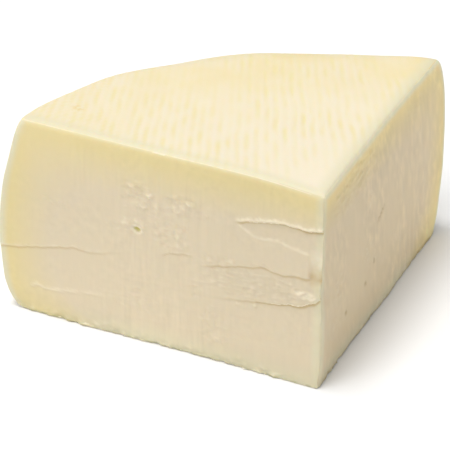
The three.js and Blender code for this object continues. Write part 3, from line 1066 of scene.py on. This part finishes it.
# painted shade in cracks, pits, the scratch, the scar's floor and along the right-hand foot
CRACK_SHADE = "BFA571"
EYE_LINING = "BDB15F"
# painted shade along the foot, where it meets the table
PAINTED_FOOT_SHADE = "A8A582"
WARM_SHADE_TINT = "FFFAF1"  # painted warmth of the light in the shade on the right-hand cut
YELLOW_BAND = (7.0, 27.0)  # millimetres under the rind at which the yellow is full, and gone
# painted light along the upright edge where the two cuts meet
EDGE_GLOW_RANGE = dict(From_Min=6.5, From_Max=1.0, To_Max=0.8)  # millimetres from a cut's own edge
TONE_RANGE = 0.10  # a tone of 1 makes the paste this much lighter than its plain colour
SMOOTH = {"interpolation_type": "SMOOTHSTEP"}


def paste_colour(tree):
    """The colour of the paste, as the output of the last of its layers."""
    names = ("depth", "warm_shade", "rim", "arris", "tone_and_light", "pale_and_highlight", "crack", "eye", "foot_shade")
    read = {n: add(tree, "ShaderNodeAttribute", {"attribute_name": n}).outputs["Fac"] for n in names}
    full, gone = YELLOW_BAND
    inward = add(tree, "ShaderNodeMapRange", From_Min=full, From_Max=gone, Value=read["depth"]).outputs[0]
    edge_glow = add(tree, "ShaderNodeMapRange", SMOOTH, Value=read["arris"], **EDGE_GLOW_RANGE)
    glow_and_pale_foot = add(tree, "ShaderNodeMath", {"operation": "MAXIMUM"}, i0=read["rim"], i1=edge_glow.outputs[0])
    colour = linear(UNDER_RIND)
    layers = (
        (inward, HEART, "MIX"), (read["warm_shade"], WARM_SHADE_TINT, "MULTIPLY"), (glow_and_pale_foot.outputs[0], PALE_FOOT_AND_EDGE_GLOW, "MIX"),
    )
    for amount, hex_colour, blend in layers:
        colour = add(
            tree, "ShaderNodeMix", {"data_type": "RGBA", "blend_type": blend},
            i0=amount, i6=colour, i7=linear(hex_colour),
        ).outputs[2]
    shade = add(
        tree, "ShaderNodeMapRange", {"clamp": False},
        From_Min=-1.0, From_Max=1.0, To_Min=1 - TONE_RANGE, To_Max=1 + TONE_RANGE, Value=read["tone_and_light"],
    ).outputs[0]
    colour = add(tree, "ShaderNodeVectorMath", {"operation": "SCALE"}, i0=colour, Scale=shade).outputs[0]
    marks = (("pale_and_highlight", PALE_AND_HIGHLIGHT), ("crack", CRACK_SHADE), ("eye", EYE_LINING), ("foot_shade", PAINTED_FOOT_SHADE))
    for name, hex_colour in marks:
        colour = add(
            tree, "ShaderNodeMix", {"data_type": "RGBA"}, i0=read[name], i6=colour, i7=linear(hex_colour),
        ).outputs[2]
    return colour


print("heart of the paste, linear:", [round(v, 2) for v in linear(HEART)[:3]])

# %% [markdown]
# Water and fat between the grains of curd let light in for a few millimetres, so its shadows are
# soft and warm, and the knife leaves a satin smear. Drawn-out noise makes the strokes of the smear,
# and round noise the curd, which is rougher where the paste is torn.

# %% Knife-cut paste
FAT_AND_WATER_IOR = 1.45
LET_IN = dict(Subsurface_Weight=0.25, Subsurface_Radius=(1.0, 0.62, 0.3), Subsurface_Scale=0.003)
STROKE_MM = 1.5  # width of a fine stroke, as coarse as it needs to be to show
CURD_MM = 2.2  # size of a grain of curd


def per_size(size_mm):
    """A texture's scale for features of a size in millimetres, on coordinates in metres."""
    return 1 / (size_mm * MM)


def knife_cut_paste():
    """Pressed curd cut with a long knife: satin, with fine strokes, and grainy where it tore."""
    material, tree = new_material("knife_cut_semi_soft_paste")
    where = add(tree, "ShaderNodeTexCoord").outputs["Object"]
    torn = add(tree, "ShaderNodeAttribute", {"attribute_name": "torn"}).outputs["Fac"]
    drawn_out = add(tree, "ShaderNodeMapping", Vector=where, Scale=(1.0, 1.0, 0.06)).outputs[0]
    strokes = add(tree, "ShaderNodeTexNoise", Vector=drawn_out, Scale=per_size(STROKE_MM), Detail=1.0)
    smear = add(tree, "ShaderNodeBump", Strength=0.5, Distance=0.00012, Height=strokes.outputs[0])
    curd = add(tree, "ShaderNodeTexNoise", Vector=where, Scale=per_size(CURD_MM), Detail=3.0)
    rough = add(tree, "ShaderNodeMapRange", To_Min=0.35, To_Max=1.8, Value=torn)
    curd = add(tree, "ShaderNodeMath", {"operation": "MULTIPLY"}, i0=curd.outputs[0], i1=rough.outputs[0])
    bump = add(
        tree, "ShaderNodeBump",
        Strength=0.6, Distance=0.0004, Height=curd.outputs[0], Normal=smear.outputs[0],
    )
    shader = add(
        tree, "ShaderNodeBsdfPrincipled", Base_Color=paste_colour(tree),
        Roughness=0.6, IOR=FAT_AND_WATER_IOR, Normal=bump.outputs[0], **LET_IN,
    )
    add(tree, "ShaderNodeOutputMaterial", Surface=shader.outputs[0])
    return material


mesh.materials.append(knife_cut_paste())
print("paste:", mesh.materials[0].name)

# %% [markdown]
# The rind is the same paste, pressed in cloth and dried. It is more yellow in the grooves and in patches
# towards the shoulder, pale along the cuts with painted light for the glow of their edges, and stained a
# little near the left one.

# %% Colour of the rind
RIND = "ECE1C8"
RIND_GROOVE = "E8DAA6"
RIND_SHOULDER = "E9D8A6"
BLEMISH = "E6CF96"
BLEMISH_SPOT = (-0.0876, 0.032, 0.1155)  # metres, on the top near the left-hand cut
PATCH_MM = 24  # size of the yellower patches


def rind_colour(tree, where, fine):
    """The colour of the rind, as the output of the last of its layers."""
    groove, arris, around = (
        add(tree, "ShaderNodeAttribute", {"attribute_name": n}) for n in ("groove", "arris", "around")
    )
    way_round, _, radius = add(tree, "ShaderNodeSeparateXYZ", Vector=around.outputs["Vector"]).outputs
    away = add(tree, "ShaderNodeVectorMath", {"operation": "DISTANCE"}, i0=where, i1=BLEMISH_SPOT)
    ranges = (  # what is read, where it starts and ends, and what it gives there
        (radius, 60.0, 175.0, 0.0, 1.0),
        (way_round, -90.0, 0.0, 0.35, 1.0),
        (arris.outputs["Fac"], 10.0, 1.0, 0.0, 0.8),
        (away.outputs["Value"], 0.006, 0.0, 0.0, 1.0),
        (fine, 0.42, 0.62, 0.0, 1.0),
    )
    outer, right_side, edge_glow, near, stain = (
        add(tree, "ShaderNodeMapRange", SMOOTH, i0=value, i1=a, i2=b, i3=c, i4=d).outputs[0]
        for value, a, b, c, d in ranges
    )
    patches = add(tree, "ShaderNodeTexNoise", Vector=where, Scale=per_size(PATCH_MM), Detail=2.0).outputs[0]
    patches = add(tree, "ShaderNodeMapRange", i0=patches, i1=0.35, i2=0.65, i3=0.4).outputs[0]
    for factor in (patches, right_side):
        outer = add(tree, "ShaderNodeMath", {"operation": "MULTIPLY"}, i0=outer, i1=factor).outputs[0]
    spot = add(tree, "ShaderNodeMath", {"operation": "MULTIPLY"}, i0=near, i1=stain).outputs[0]
    colour = linear(RIND)
    layers = ((outer, RIND_SHOULDER), (groove.outputs["Fac"], RIND_GROOVE), (edge_glow, PALE_FOOT_AND_EDGE_GLOW), (spot, BLEMISH))
    for amount, hex_colour in layers:
        colour = add(
            tree, "ShaderNodeMix", {"data_type": "RGBA"}, i0=amount, i6=colour, i7=linear(hex_colour),
        ).outputs[2]
    return colour


print("stain at, m:", BLEMISH_SPOT)

# %% [markdown]
# The grooves are in the shape already. What is left is the crepe of the dried skin, a very low bump
# of fine noise, and a little more roughness than the smeared paste has.

# %% Cloth-pressed rind
CREPE_MM = 2.2  # size of a fold of the crepe, as coarse as it needs to be to show


def cloth_pressed_rind():
    """Dried paste that was pressed in cloth: matt, with a fine crepe."""
    material, tree = new_material("cloth_pressed_rind")
    where = add(tree, "ShaderNodeTexCoord").outputs["Object"]
    fine = add(tree, "ShaderNodeTexNoise", Vector=where, Scale=per_size(CREPE_MM), Detail=2.0).outputs[0]
    crepe = add(tree, "ShaderNodeBump", Strength=0.4, Distance=0.00015, Height=fine)
    shader = add(
        tree, "ShaderNodeBsdfPrincipled", Base_Color=rind_colour(tree, where, fine),
        Roughness=0.62, IOR=FAT_AND_WATER_IOR, Normal=crepe.outputs[0], **LET_IN,
    )
    add(tree, "ShaderNodeOutputMaterial", Surface=shader.outputs[0])
    return material


mesh.materials.append(cloth_pressed_rind())
print("rind:", mesh.materials[1].name)

# %% [markdown]
# Each face gets its finish by the way it looks. A face that looks straight out of one of the two
# cuts is paste, and every other face is rind.

# %% Paste on the cuts, rind elsewhere
PASTE_SLOT, RIND_SLOT = 0, 1
STRAIGHT_OUT = 0.8  # cosine of the widest turn away from a cut's own direction

for face in mesh.polygons:
    out_of_cut = max(face.normal.dot(LEFT_NORMAL), face.normal.dot(RIGHT_NORMAL))
    face.material_index = PASTE_SLOT if out_of_cut > STRAIGHT_OUT else RIND_SLOT
print("faces of paste:", sum(face.material_index == PASTE_SLOT for face in mesh.polygons))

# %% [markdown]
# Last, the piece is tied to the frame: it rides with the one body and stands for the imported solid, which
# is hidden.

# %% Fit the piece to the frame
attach(cheese, "root")
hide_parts("cheese_quarter")
print("piece:", cheese.name, "with", len(cheese.data.materials), "finishes")
